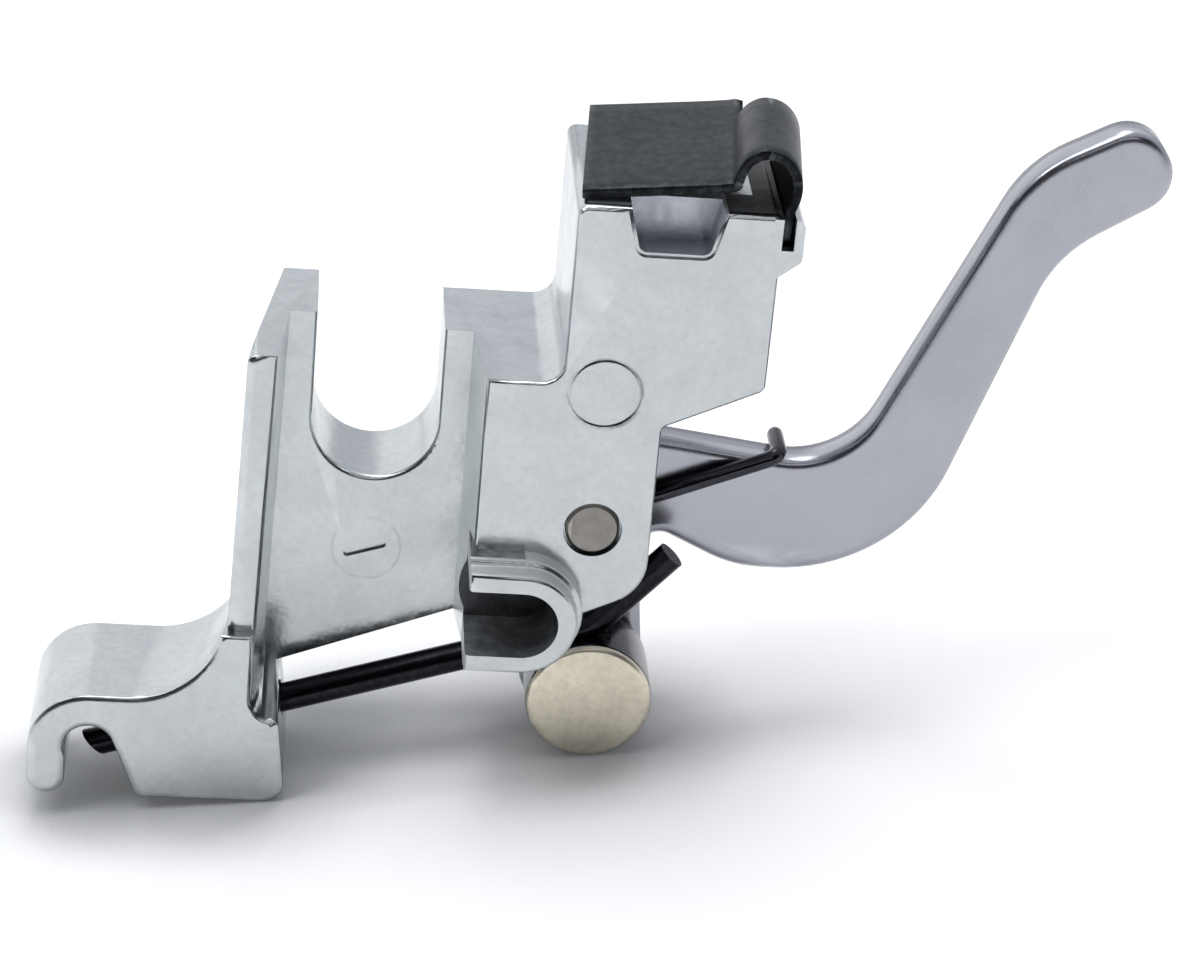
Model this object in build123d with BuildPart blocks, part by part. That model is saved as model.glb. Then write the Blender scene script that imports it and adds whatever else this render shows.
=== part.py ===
from build123d import *
from math import acos, asin, atan2, cos, degrees, hypot, pi, radians, sin, tan
import os

os.makedirs("parts", exist_ok=True)

# Presser foot holder. Millimetres, Z up: the screw slot opens upwards and the foot clips in from below.
# X = 0 is the lever's pivot, with the hook at -X and the lever's handle at +X. Y = 0 is the latch rod's side
# of the body's middle plane, and the front face is at -Y. Z = 0 is the flat underside of the hook block.

# Layers of the casting, from front to back
body_front = -3.5
body_depth = 8.7
plate_thickness = 4.3
block_proud = 0.6  # the hook block stands this far in front of the flange
block_depth = 6.0
edge_radius = 0.2
edge_break = 0.15

# Pivot pin and its holes
pivot_height = 12.4
pin_radius = 1.05
pin_recess = 0.05
pin_ring_gap = 0.08  # shadow ring round the pin's front end
running_fit = 0.05

# Lever plate, which swings in a slot in the casting
lever_thickness = 1.5
lever_front = 1.3
lever_side_gap = 0.3
lever_left_room = 0.6
lever_top_room = 1.3
lever_edge_break = 0.2
lever_back_break = 0.1
hub_radius = 2.35
handle_radius = 1.54
arm_width = 5.15
arm_end_radius = 2.3

# Stud on the lever's arm, which carries the latch rod
stud_x = 0.62
stud_height = 4.05
stud_radius = 2.5
stud_front = -2.1
stud_rim = 0.3
shank_radius = 1.4
stud_flange_radius = 1.95
stud_flange_thickness = 0.5
stud_gap = 0.3  # between the stud's shoulders and the arm

# Latch rod
rod_diameter = 1.15
rod_y = -0.7
rod_slope = 18.1
rod_height = 2.95  # at the block's right face
rod_hole_length = 12.0
rod_clearance = 0.15  # the rod tilts a little in its hole as the lever lifts
rod_bend_x = 0.55
rod_bend_angle = 48.6
rod_bend_radius = 2.0
rod_end_length = 4.4
rod_tip_reach = 0.35  # how far the tip passes the foot pin's centre
rod_tip_bevel = 43.0
rod_tip_blunt = 0.9  # the bevel starts this share of the rod's radius above its middle

# Hook block, with the groove that takes the foot's cross pin
foot_pin_x = -18.85
foot_pin_height = 2.05
groove_radius = 1.0
groove_lip_angle = 25.0
groove_mouth = 1.9  # from the foot pin's centre to the mouth's right corner
hook_wall = 1.35
saddle_x = -17.4
saddle_radius = 3.55
saddle_arc = 80.0
saddle_shift = 0.85  # the saddle moves this far to the right from front to back
neck_right = -12.7
shoulder_height = 3.65
block_right = -11.15
block_lean = 0.4
block_corner = 0.8
shoulder_fillet = 0.95

# Flange, screw slot and presser bar channel
flange_left = -13.4
flange_slant = 1.2
flange_lean = 0.4  # the flange leans outwards by this much down to the shoulder
leg_top = 18.9
channel_left = -12.3
channel_right = -4.45
channel_draft = 0.4
slot_x = -8.4
slot_height = 14.47
slot_radius = 2.45
plate_left_foot = -11.8
plate_right_foot = -4.76
plate_right_height = 6.4

# Step, tower and foot of the casting
step_height = 18.45
step_fillet = 0.9
tower_left = -1.6
tower_right = 6.0
tower_top = 25.6
tower_shoulder = 18.55
waist_height = 16.8
foot_right = 2.25
foot_height = 9.8
foot_radius = 2.0
corner_radius = 0.35

# Pocket in the tower's front, and the lug that holds the leaf spring's tail
pocket_x = 2.1
pocket_top_width = 3.45
pocket_bottom_width = 2.6
pocket_height = 1.7
pocket_depth = 1.6
lug_right = 6.82
lug_bottom = 23.9
lug_top = 25.55

# Ridge round the open pocket, on the front of the casting
ridge_x = -2.5
ridge_height_z = 9.0
ridge_radius = 2.1
ridge_wall = 0.72
ridge_left = -4.6
ridge_proud = 1.7
ridge_step_width = 0.25
ridge_step_proud = 0.85
ridge_pocket_depth = 3.3

# Casting marks
disc_height = 18.15
disc_radius = 1.4
mark_line = 0.1
mark_x = -8.5
mark_height = 8.85
mark_length = 1.75

# Leaf spring
leaf_thickness = 0.4
leaf_left = -1.35
leaf_bump_x = 5.2
leaf_bump_width = 2.1
leaf_bump_height = 2.2
leaf_tongue_width = 6.0
leaf_flat_right = 3.1
tail_gap = 0.03
tail_length = 1.25

# Torsion spring
wire_diameter = 0.65
coil_gap = 0.18
coil_room = 0.45
coil_full_turns = 1
coil_pitch = 0.72
coil_arcs = 8
coil_lever_gap = 0.08
hook_x = 7.5
hook_drop = 0.9
hook_bend = 0.55
hook_gap = 0.03
leg_bend = 0.9  # the wire straightens over this length as it leaves the coil
anchor_length = 2.7
anchor_clearance = 0.08

# Sizes worked out from those above
body_back = body_front + body_depth
plate_front = body_back - plate_thickness
block_front = body_front - block_proud
lever_back = lever_front + lever_thickness
slot_front = lever_front - lever_side_gap
slot_back = lever_back + lever_side_gap
rod_radius = rod_diameter / 2
wire_radius = wire_diameter / 2
coil_radius = pin_radius + coil_gap + wire_radius
spring_pocket_radius = coil_radius + wire_radius + coil_room
rod_direction = (cos(radians(rod_slope)), sin(radians(rod_slope)))


def front_plane(y):
    # Front view at depth y: sketch x is X, sketch y is Z, and a negative extrusion goes back, towards +Y
    return Plane(origin=(0, y, 0), x_dir=(1, 0, 0), z_dir=(0, -1, 0))


def rod_z(x):
    # Height of the rod's straight run at x
    return rod_height + (x - block_right) * tan(radians(rod_slope))


def soften(part, edges, size, cut=chamfer):
    # Breaks or rounds the edges together, or one at a time where a short one is in the way
    try:
        cut(edges, size)
        return
    except ValueError:
        middles = [edge @ 0.5 for edge in edges]
    for middle in middles:
        near = [edge for edge in part.edges() if (edge @ 0.5 - middle).length < size]
        try:
            cut(near[:1], size)
        except ValueError:
            continue


def edges_at(part, y, test=lambda middle: True):
    # Edges that lie in the front view at depth y
    return [edge for edge in part.edges()
            if abs(edge.bounding_box().min.Y - y) + abs(edge.bounding_box().max.Y - y) < 1e-3 and test(edge @ 0.5)]


def polar(center, radius, angle):
    return (center[0] + radius * cos(radians(angle)), center[1] + radius * sin(radians(angle)))


# Lever outline, corner by corner: hub, valley, neck of the handle, rounded end, belly and the arm for the stud
lever_corners = [
    (-hub_radius, pivot_height + hub_radius),
    (10.22, 13.1),
    (15.95, 26.14),
    (20.2, 28.45),
    (22.0, 25.75),
    (17.4, 22.75),
    (12.8, 8.6),
    (6.2, 8.6),
    (2.25, 10.5),
    (stud_x + arm_width / 2, stud_height - arm_width / 2),
    (stud_x - arm_width / 2, stud_height - arm_width / 2),
]
lever_radii = [hub_radius, 3.6, 5.0, handle_radius, handle_radius, 5.0, 6.8, 5.0, 0.8,
               arm_end_radius, arm_end_radius]

# The spring's long leg runs from the underside of the coil to its hook on the lever's upper edge
upper_edge_slope = (lever_corners[1][1] - lever_corners[0][1]) / (lever_corners[1][0] - lever_corners[0][0])
hook_z = (lever_corners[0][1] + upper_edge_slope * (hook_x - lever_corners[0][0])
          + wire_radius + 2 * hook_gap)
hook_y = lever_back + hook_gap + wire_radius
hook_reach = hypot(hook_x, hook_z - pivot_height)
leg_angle = degrees(atan2(hook_z - pivot_height, hook_x) + asin(coil_radius / hook_reach))
leg_start = polar((0, pivot_height), coil_radius, leg_angle - 90)
coil_length = coil_pitch * (coil_full_turns + (leg_angle + 90) / 360)
coil_y = lever_front - coil_lever_gap - wire_radius
coil_start_y = coil_y - coil_length
spring_pocket_front = coil_start_y - wire_radius - coil_gap
coil_lead = atan2(coil_pitch, 2 * pi * coil_radius)
anchor_start = Vector(-coil_radius, coil_start_y, pivot_height)
anchor_direction = Vector(0, -sin(coil_lead), cos(coil_lead))
anchor_end = anchor_start + anchor_direction * anchor_length
leg_direction = Vector(cos(radians(leg_angle)), 0, sin(radians(leg_angle)))
leg_join = Vector(leg_start[0], coil_y, leg_start[1]) + leg_direction * leg_bend

# Outline of the hook block: hook, saddle, neck, shoulder, foot and groove
foot_pin = (foot_pin_x, foot_pin_height)
hook_radius = groove_radius + hook_wall
saddle_left = (foot_pin_x + saddle_shift + saddle_x) / 2
block_top = foot_pin_height + hook_radius
saddle = (saddle_x, block_top + saddle_radius)
neck_left, neck_top = polar(saddle, saddle_radius, saddle_arc - 90)
lean_direction = Vector(flange_lean, 0, leg_top - shoulder_height)
foot_lean = flange_lean * leg_top / (leg_top - shoulder_height)  # at Z = 0
flange_foot = flange_left - foot_lean
channel_foot = channel_left - foot_lean
mouth = (foot_pin_x + groove_mouth, 0)
mouth_reach = hypot(groove_mouth, foot_pin_height)
mouth_angle = degrees(atan2(-foot_pin_height, groove_mouth) + acos(groove_radius / mouth_reach))
lip = polar(foot_pin, groove_radius, 180 + groove_lip_angle)
hook_left = foot_pin_x - hook_radius
tip_radius = (lip[0] - hook_left) / 2

with BuildPart() as hook_block:
    with BuildSketch(front_plane(block_front)) as block_outline:
        with BuildLine():
            CenterArc(foot_pin, hook_radius, 90, 90)
            Polyline((foot_pin_x, block_top), (saddle_left, block_top), (saddle_left, neck_top))
            FilletPolyline(
                (saddle_left, neck_top),
                (neck_right, neck_top),
                (neck_right, shoulder_height),
                (block_right - block_lean, shoulder_height),
                (block_right, 0),
                mouth,
                polar(foot_pin, groove_radius, mouth_angle),
                radius=[0, shoulder_fillet, corner_radius, block_corner, corner_radius],
            )
            CenterArc(foot_pin, groove_radius, mouth_angle, 180 + groove_lip_angle - mouth_angle)
            Line(lip, (lip[0], tip_radius))
            CenterArc((lip[0] - tip_radius, tip_radius), tip_radius, 0, -180)
            Line((hook_left, tip_radius), (hook_left, foot_pin_height))
        make_face()
    extrude(amount=-block_depth)
    # The saddle runs obliquely, beside the flange's outer face
    with BuildSketch(front_plane(block_front)):
        with BuildLine():
            Line((foot_pin_x, block_top), (saddle_x, block_top))
            CenterArc(saddle, saddle_radius, -90, saddle_arc)
            Polyline((neck_left, neck_top), (neck_left, neck_top + 1), (foot_pin_x, neck_top + 1),
                     (foot_pin_x, block_top))
        make_face()
    extrude(amount=block_depth + saddle_shift, dir=(saddle_shift, block_depth, 0), mode=Mode.SUBTRACT)
    soften(hook_block, edges_at(hook_block, block_front), edge_break)
    soften(hook_block, edges_at(hook_block, block_front + block_depth), edge_break)

with BuildPart() as holder_body:
    with BuildSketch(front_plane(body_front)):
        with BuildLine():
            FilletPolyline(
                (flange_left - flange_lean, shoulder_height),
                (flange_left, leg_top),
                (slot_x, leg_top),
                (slot_x, step_height),
                (tower_left, step_height),
                (tower_left, tower_top),
                (tower_right, tower_top),
                (tower_right, tower_shoulder),
                (foot_right, waist_height),
                (foot_right, foot_height),
                (plate_right_foot, plate_right_height),
                (plate_left_foot, shoulder_height),
                radius=[0, corner_radius, 0, 0, step_fillet, corner_radius, corner_radius, corner_radius,
                        corner_radius, foot_radius, 0, 0],
                close=True,
            )
        make_face()
    extrude(amount=-body_depth)
    soften(holder_body, edges_at(holder_body, body_front), edge_break)
    soften(holder_body, edges_at(holder_body, body_back), edge_break)

    # The flange leans, and its outer face runs inwards towards the back
    with BuildSketch(Plane.XY):
        with BuildLine():
            Polyline((flange_foot, body_front), (flange_foot + flange_slant, body_back),
                     (flange_foot, body_back), close=True)
        make_face()
    extrude(amount=leg_top + 1, dir=lean_direction, mode=Mode.SUBTRACT)

    # Channel for the presser bar, with slanted side walls, the left one leaning with the flange
    with BuildSketch(Plane.XY):
        with BuildLine():
            Polyline((channel_foot, body_front), (slot_x, body_front), (slot_x, plate_front),
                     (channel_foot + channel_draft, plate_front), close=True)
        make_face()
    extrude(amount=leg_top + 1, dir=lean_direction, mode=Mode.SUBTRACT)
    with BuildSketch(Plane.XY):
        with BuildLine():
            Polyline((slot_x - slot_radius, body_front), (channel_right, body_front),
                     (channel_right - channel_draft, plate_front),
                     (slot_x - slot_radius, plate_front), close=True)
        make_face()
    extrude(amount=leg_top + 1, mode=Mode.SUBTRACT)
    on_legs = lambda middle: (middle.Z > shoulder_height and
                              min(abs(middle.X - channel_left + flange_lean / 2),
                                  abs(middle.X - channel_right)) < flange_lean)
    soften(holder_body, edges_at(holder_body, body_front, on_legs), edge_break)

    add(hook_block)

    # Ridge with a wider foot, run back to the plate, and the pocket it surrounds
    for outer_radius, front in ((ridge_radius, body_front - ridge_proud),
                                (ridge_radius + ridge_step_width, body_front - ridge_proud + ridge_step_proud)):
        with BuildSketch(front_plane(front)):
            with Locations((ridge_x, ridge_height_z)):
                Circle(outer_radius)
            with Locations(((ridge_x + ridge_left) / 2, ridge_height_z)):
                Rectangle(ridge_x - ridge_left, 2 * outer_radius)
        extrude(amount=front - plate_front)
        soften(holder_body, edges_at(holder_body, front), edge_radius, fillet)
    with BuildSketch(front_plane(body_front - ridge_proud)):
        with Locations((ridge_x, ridge_height_z)):
            Circle(ridge_radius - ridge_wall)
        with Locations((ridge_x - ridge_radius, ridge_height_z)):
            Rectangle(2 * ridge_radius, 2 * (ridge_radius - ridge_wall))
    extrude(amount=-ridge_pocket_depth, mode=Mode.SUBTRACT)

    # Screw slot, open at the top
    with BuildSketch(front_plane(plate_front)):
        with Locations((slot_x, slot_height)):
            Circle(slot_radius)
        with Locations((slot_x, (slot_height + leg_top + 1) / 2)):
            Rectangle(2 * slot_radius, leg_top + 1 - slot_height)
    extrude(amount=-plate_thickness, mode=Mode.SUBTRACT)
    in_slot = lambda middle: abs(middle.X - slot_x) < slot_radius + 0.01 and middle.Z > slot_height - slot_radius - 0.01
    soften(holder_body, edges_at(holder_body, plate_front, in_slot), edge_radius, fillet)
    soften(holder_body, edges_at(holder_body, body_back, in_slot), edge_break)

    # Pocket in the tower's front, under the leaf spring
    with BuildSketch(front_plane(body_front)):
        with BuildLine():
            FilletPolyline(
                (pocket_x - pocket_top_width / 2, tower_top + 1),
                (pocket_x - pocket_top_width / 2, tower_top),
                (pocket_x - pocket_bottom_width / 2, tower_top - pocket_height),
                (pocket_x + pocket_bottom_width / 2, tower_top - pocket_height),
                (pocket_x + pocket_top_width / 2, tower_top),
                (pocket_x + pocket_top_width / 2, tower_top + 1),
                radius=[0, 0, corner_radius, corner_radius, 0, 0],
                close=True,
            )
        make_face()
    extrude(amount=-pocket_depth, mode=Mode.SUBTRACT)

    # Lug beside the tower, with the narrow slot for the leaf's tail
    with BuildSketch(front_plane(body_front)):
        with BuildLine():
            FilletPolyline(
                (tower_right - corner_radius, lug_bottom - 0.9),
                (lug_right, lug_bottom),
                (lug_right, lug_top),
                (tower_right - corner_radius, lug_top),
                radius=[0, 0.3, corner_radius, 0],
                close=True,
            )
        make_face()
    extrude(amount=-body_depth, mode=Mode.ADD)
    with BuildSketch(front_plane(body_front)):
        with Locations((tower_right + tail_gap + leaf_thickness / 2, tower_top)):
            Rectangle(leaf_thickness + 2 * tail_gap, 2 * tail_length + 2 * tail_gap)
    extrude(amount=-body_depth, mode=Mode.SUBTRACT)

    # Slot for the lever, open at the right and below, and room for the spring's coil in front of it
    with BuildSketch(front_plane(slot_front)):
        with BuildLine():
            FilletPolyline(
                (-hub_radius - lever_left_room, 0),
                (-hub_radius - lever_left_room, pivot_height + hub_radius + lever_top_room),
                (2 * foot_right, pivot_height + hub_radius + lever_top_room),
                (2 * foot_right, 0),
                radius=[0, hub_radius, 0, 0],
                close=True,
            )
        make_face()
    extrude(amount=-(slot_back - slot_front), mode=Mode.SUBTRACT)
    with BuildSketch(front_plane(spring_pocket_front)):
        with Locations((0, pivot_height)):
            Circle(spring_pocket_radius)
        with Locations((foot_right, pivot_height)):
            Rectangle(2 * foot_right, 2 * spring_pocket_radius)
    extrude(amount=spring_pocket_front - slot_front, mode=Mode.SUBTRACT)
    with BuildSketch(Plane(origin=anchor_start, z_dir=anchor_direction)):
        Circle(wire_radius + anchor_clearance)
    extrude(amount=anchor_length + anchor_clearance, mode=Mode.SUBTRACT)

    # Pin holes: a seat right through, and a wider ring at the front
    with BuildSketch(front_plane(body_front)):
        with Locations((0, pivot_height)):
            Circle(pin_radius)
    extrude(amount=-body_depth, mode=Mode.SUBTRACT)
    with BuildSketch(front_plane(body_front)):
        with Locations((0, pivot_height)):
            Circle(pin_radius + pin_ring_gap)
    extrude(amount=-0.5, mode=Mode.SUBTRACT)

    # Hole through the block for the latch rod
    rod_start = (foot_pin_x - rod_clearance, rod_y, rod_z(foot_pin_x - rod_clearance))
    with BuildSketch(Plane(origin=rod_start, z_dir=(rod_direction[0], 0, rod_direction[1]))):
        Circle(rod_radius + rod_clearance)
    extrude(amount=rod_hole_length, mode=Mode.SUBTRACT)

    # Casting marks: a thin ring on the front and a short line on the plate
    with BuildSketch(front_plane(body_front)):
        with Locations((0, disc_height)):
            Circle(disc_radius)
            Circle(disc_radius - mark_line, mode=Mode.SUBTRACT)
    extrude(amount=-mark_line, mode=Mode.SUBTRACT)
    with BuildSketch(front_plane(plate_front)):
        with Locations(Location((mark_x, mark_height), rod_slope)):
            SlotOverall(mark_length, 3 * mark_line)
    extrude(amount=-1.5 * mark_line, mode=Mode.SUBTRACT)
holder_body.part.label = "holder_body"

with BuildPart() as pivot_pin:
    with BuildSketch(front_plane(body_front + pin_recess)):
        with Locations((0, pivot_height)):
            Circle(pin_radius)
    extrude(amount=-(body_depth - 2 * pin_recess))
    chamfer(pivot_pin.edges().filter_by(GeomType.CIRCLE), 0.12)
pivot_pin.part.label = "pivot_pin"

with BuildPart() as release_lever:
    with BuildSketch(front_plane(lever_front)):
        with BuildLine():
            FilletPolyline(*lever_corners, radius=lever_radii, close=True)
        make_face()
    extrude(amount=-lever_thickness)
    # The stamped plate's edges are broken more at the front, the die's side, than at the back
    chamfer(release_lever.faces().sort_by(Axis.Y)[0].edges(), lever_edge_break)
    chamfer(release_lever.faces().sort_by(Axis.Y)[-1].edges(), lever_back_break)
    with BuildSketch(front_plane(lever_front)):
        with Locations((0, pivot_height)):
            Circle(pin_radius + running_fit)
        with Locations((stud_x, stud_height)):
            Circle(shank_radius + running_fit)
    extrude(amount=-lever_thickness, mode=Mode.SUBTRACT)
release_lever.part.label = "release_lever"

# Latch rod: straight run from the groove to the stud, then bent up clear of the casting
rod_bend = (rod_bend_x, rod_y, rod_z(rod_bend_x))
rod_tip_x = foot_pin_x - rod_tip_reach
rod_end = (rod_bend_x + rod_end_length * cos(radians(rod_bend_angle)), rod_y,
           rod_z(rod_bend_x) + rod_end_length * sin(radians(rod_bend_angle)))
with BuildPart() as latch_rod:
    with BuildLine() as rod_line:
        FilletPolyline((rod_tip_x, rod_y, rod_z(rod_tip_x)), rod_bend, rod_end, radius=rod_bend_radius)
    with BuildSketch(Plane(origin=rod_line.line @ 0, z_dir=rod_line.line % 0)):
        Circle(rod_radius)
    sweep(path=rod_line.line)
    # The tip is cut to a bevel that faces down and away from the block
    bevel_corner = (rod_tip_x, rod_y, rod_z(rod_tip_x) + rod_radius * rod_tip_blunt)
    bevel_normal = (-sin(radians(rod_tip_bevel)), 0, -cos(radians(rod_tip_bevel)))
    split(bisect_by=Plane(origin=bevel_corner, z_dir=bevel_normal), keep=Keep.BOTTOM)
latch_rod.part.label = "latch_rod"

# Stud: a drum with a groove for the rod, a shank through the lever's arm and an end riveted over
stud_shoulder = lever_front - stud_gap
stud_shank_end = lever_back + stud_gap
with BuildPart() as stud:
    with BuildSketch(front_plane(stud_front)):
        with Locations((stud_x, stud_height)):
            Circle(stud_radius)
    extrude(amount=-(stud_shoulder - stud_front))
    fillet(stud.edges().filter_by(GeomType.CIRCLE).sort_by(Axis.Y)[0], stud_rim)
    with BuildSketch(front_plane(stud_shoulder)):
        with Locations((stud_x, stud_height)):
            Circle(shank_radius)
    extrude(amount=-(stud_shank_end - stud_shoulder))
    with BuildSketch(front_plane(stud_shank_end)):
        with Locations((stud_x, stud_height)):
            Circle(stud_flange_radius)
    extrude(amount=-stud_flange_thickness)
    groove_start = (stud_x - 2 * stud_radius, rod_y, rod_z(stud_x - 2 * stud_radius))
    with BuildSketch(Plane(origin=groove_start, z_dir=(rod_direction[0], 0, rod_direction[1]))):
        Circle(rod_radius)
    extrude(amount=4 * stud_radius, mode=Mode.SUBTRACT)
stud.part.label = "stud"

# Leaf spring: a flat strip on the tower whose tongue bends over and down into the lug's slot
leaf_z = tower_top + leaf_thickness / 2
tail_x = tower_right + tail_gap + leaf_thickness / 2
with BuildPart() as leaf_spring:
    with BuildSketch(front_plane(body_front)):
        with BuildLine() as leaf_line:
            FilletPolyline(
                (leaf_left, leaf_z),
                (leaf_bump_x - leaf_bump_width / 2 - 0.25, leaf_z),
                (leaf_bump_x - leaf_bump_width / 2 + 0.15, leaf_z + leaf_bump_height),
                (tail_x + 0.05, leaf_z + leaf_bump_height),
                (tail_x, leaf_z),
                (tail_x, tower_top - tail_length),
                radius=[0.7, 0.95, 1.0, 0.5],
            )
        trace(line_width=leaf_thickness)
    extrude(amount=-leaf_tongue_width)
    with BuildSketch(front_plane(body_front)):
        with BuildLine():
            Line((leaf_left, leaf_z), (leaf_flat_right, leaf_z))
        trace(line_width=leaf_thickness)
    extrude(amount=-body_depth)
leaf_spring.part.label = "leaf_spring"

# Torsion spring: turns on the pin, a short leg in the casting and a long leg that hooks over the lever's edge
with BuildPart() as torsion_spring:
    coil = Helix(coil_pitch, coil_length, coil_radius, center=(0, coil_start_y, pivot_height),
                 direction=(0, 1, 0), lefthand=True, mode=Mode.PRIVATE)
    coil = coil.rotate(Axis((0, 0, pivot_height), (0, -1, 0)), 90)
    with BuildLine() as spring_line:
        Line(anchor_end, coil @ 0)
        for i in range(coil_arcs):
            ThreePointArc(coil @ (i / coil_arcs), coil @ ((i + 0.5) / coil_arcs), coil @ ((i + 1) / coil_arcs))
        Bezier(coil @ 1, coil @ 1 + coil % 1 * leg_bend / 3, leg_join - leg_direction * leg_bend / 3, leg_join)
        FilletPolyline(
            leg_join,
            (hook_x, coil_y, hook_z),
            (hook_x, hook_y, hook_z),
            (hook_x + hook_drop / 3, hook_y, hook_z - hook_drop),
            radius=[hook_bend, hook_bend * 0.8],
        )
    with BuildSketch(Plane(origin=anchor_end, z_dir=coil % 0)):
        Circle(wire_radius)
    sweep(path=spring_line.wire())
torsion_spring.part.label = "torsion_spring"

for piece in (holder_body, pivot_pin, release_lever, latch_rod, stud, leaf_spring, torsion_spring):
    export_step(piece.part, f"parts/{piece.part.label}.step")
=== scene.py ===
import math
import bmesh
import bpy
from mathutils import Matrix, Vector


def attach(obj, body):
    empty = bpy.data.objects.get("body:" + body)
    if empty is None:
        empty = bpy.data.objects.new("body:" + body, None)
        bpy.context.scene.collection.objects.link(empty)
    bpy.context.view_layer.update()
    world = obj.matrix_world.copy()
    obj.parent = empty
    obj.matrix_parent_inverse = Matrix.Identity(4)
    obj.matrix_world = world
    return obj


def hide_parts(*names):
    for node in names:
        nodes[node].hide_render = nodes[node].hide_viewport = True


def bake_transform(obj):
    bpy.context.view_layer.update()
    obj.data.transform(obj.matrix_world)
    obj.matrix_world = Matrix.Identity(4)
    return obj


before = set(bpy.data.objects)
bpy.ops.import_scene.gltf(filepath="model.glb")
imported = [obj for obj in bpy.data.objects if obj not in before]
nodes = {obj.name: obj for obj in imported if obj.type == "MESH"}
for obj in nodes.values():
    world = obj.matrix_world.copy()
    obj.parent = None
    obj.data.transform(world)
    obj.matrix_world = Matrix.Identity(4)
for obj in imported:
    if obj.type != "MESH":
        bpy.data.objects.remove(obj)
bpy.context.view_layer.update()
mm = 0.001


# small tools

def say(text):
    print("[presser foot holder] " + text)


def linkMesh(name, mesh):
    obj = bpy.data.objects.new(name, mesh)
    bpy.context.scene.collection.objects.link(obj)
    return obj


def makeMesh(obj):
    # turns an object with live modifiers into a plain mesh of the same name
    depsgraph = bpy.context.evaluated_depsgraph_get()
    mesh = bpy.data.meshes.new_from_object(obj.evaluated_get(depsgraph), depsgraph=depsgraph)
    name = obj.name
    bpy.data.objects.remove(obj)
    return linkMesh(name, mesh)


def cleanCopy(node, name, flatAngle=0.6, mergeWithin=0.002 * mm):
    # a merged copy of a CAD node, with its flat faces joined up
    mesh = nodes[node].data.copy()
    mesh.materials.clear()
    bm = bmesh.new()
    bm.from_mesh(mesh)
    bmesh.ops.remove_doubles(bm, verts=bm.verts, dist=mergeWithin)
    bmesh.ops.dissolve_limit(bm, angle_limit=math.radians(flatAngle), verts=bm.verts, edges=bm.edges)
    bmesh.ops.recalc_face_normals(bm, faces=bm.faces)
    bm.to_mesh(mesh)
    bm.free()
    if mesh.attributes.get("custom_normal"):
        mesh.attributes.remove(mesh.attributes["custom_normal"])
    return linkMesh(name, mesh)


def smoothShade(obj, crease):
    # smooth shading that breaks at edges sharper than crease
    bm = bmesh.new()
    bm.from_mesh(obj.data)
    for face in bm.faces:
        face.smooth = True
    for edge in bm.edges:
        edge.smooth = len(edge.link_faces) == 2 and edge.calc_face_angle(0) < math.radians(crease)
    bm.to_mesh(obj.data)
    bm.free()
    return obj


def roundShading(obj, crease, flatWeight=100):
    # shades narrow broken edges as rounded ones between flat faces
    smoothShade(obj, crease)
    normals = obj.modifiers.new("flatFaces", "WEIGHTED_NORMAL")
    normals.weight = flatWeight
    normals.keep_sharp = True
    return makeMesh(obj)


def flattenFaces(obj, area, within):
    # broad faces that are level at half their corners or more get their own normal at every corner, so that
    # no gradient runs across them
    mesh = obj.data
    normals = [corner.vector.copy() for corner in mesh.corner_normals]
    for polygon in mesh.polygons:
        corners = list(polygon.loop_indices)
        level = [i for i in corners if normals[i].dot(polygon.normal) > within]
        if polygon.area > area and len(level) * 2 >= len(corners):
            for i in corners:
                normals[i] = polygon.normal.copy()
    mesh.normals_split_custom_set([tuple(normal) for normal in normals])
    return obj


def paintFaces(obj, shadesAndFinishes, choose=None):
    # gives a piece its materials, and each face the one that choose returns for it
    obj.data.materials.clear()
    for finish in shadesAndFinishes:
        obj.data.materials.append(finish)
    if choose:
        for polygon in obj.data.polygons:
            polygon.material_index = shadesAndFinishes.index(choose(polygon))


# node tools for materials

def newMaterial(name):
    mat = bpy.data.materials.new(name)
    mat.use_nodes = True
    mat.node_tree.nodes.clear()
    return mat


def addNode(tree, kind, inputs=None, **settings):
    node = tree.nodes.new(kind)
    for key, value in settings.items():
        setattr(node, key, value)
    for key, value in (inputs or {}).items():
        if isinstance(value, bpy.types.NodeSocket):
            tree.links.new(value, node.inputs[key])
        else:
            node.inputs[key].default_value = value
    return node


def calculate(tree, operation, first, second=0.5):
    return addNode(tree, "ShaderNodeMath", {0: first, 1: second}, operation=operation).outputs[0]


def ramp(tree, value, low, high, kind="LINEAR"):
    # 0 where value is low, 1 where it is high
    return addNode(tree, "ShaderNodeMapRange", {"Value": value, "From Min": low, "From Max": high},
                   interpolation_type=kind).outputs["Result"]


def mixColors(tree, amount, first, second):
    # the first colour where amount is 0, the second where it is 1; each is a socket or three numbers
    first, second = ((*color, 1) if isinstance(color, tuple) else color for color in (first, second))
    return addNode(tree, "ShaderNodeMix", {0: amount, 6: first, 7: second}, data_type="RGBA").outputs[2]


def newGroup(name, inputs, outputs):
    tree = bpy.data.node_groups.new(name, "ShaderNodeTree")
    for label, kind, value in inputs:
        socket = tree.interface.new_socket(label, in_out="INPUT", socket_type=kind)
        socket.default_value = value
    for label, kind in outputs:
        tree.interface.new_socket(label, in_out="OUTPUT", socket_type=kind)
    return tree, tree.nodes.new("NodeGroupInput"), tree.nodes.new("NodeGroupOutput")


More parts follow.
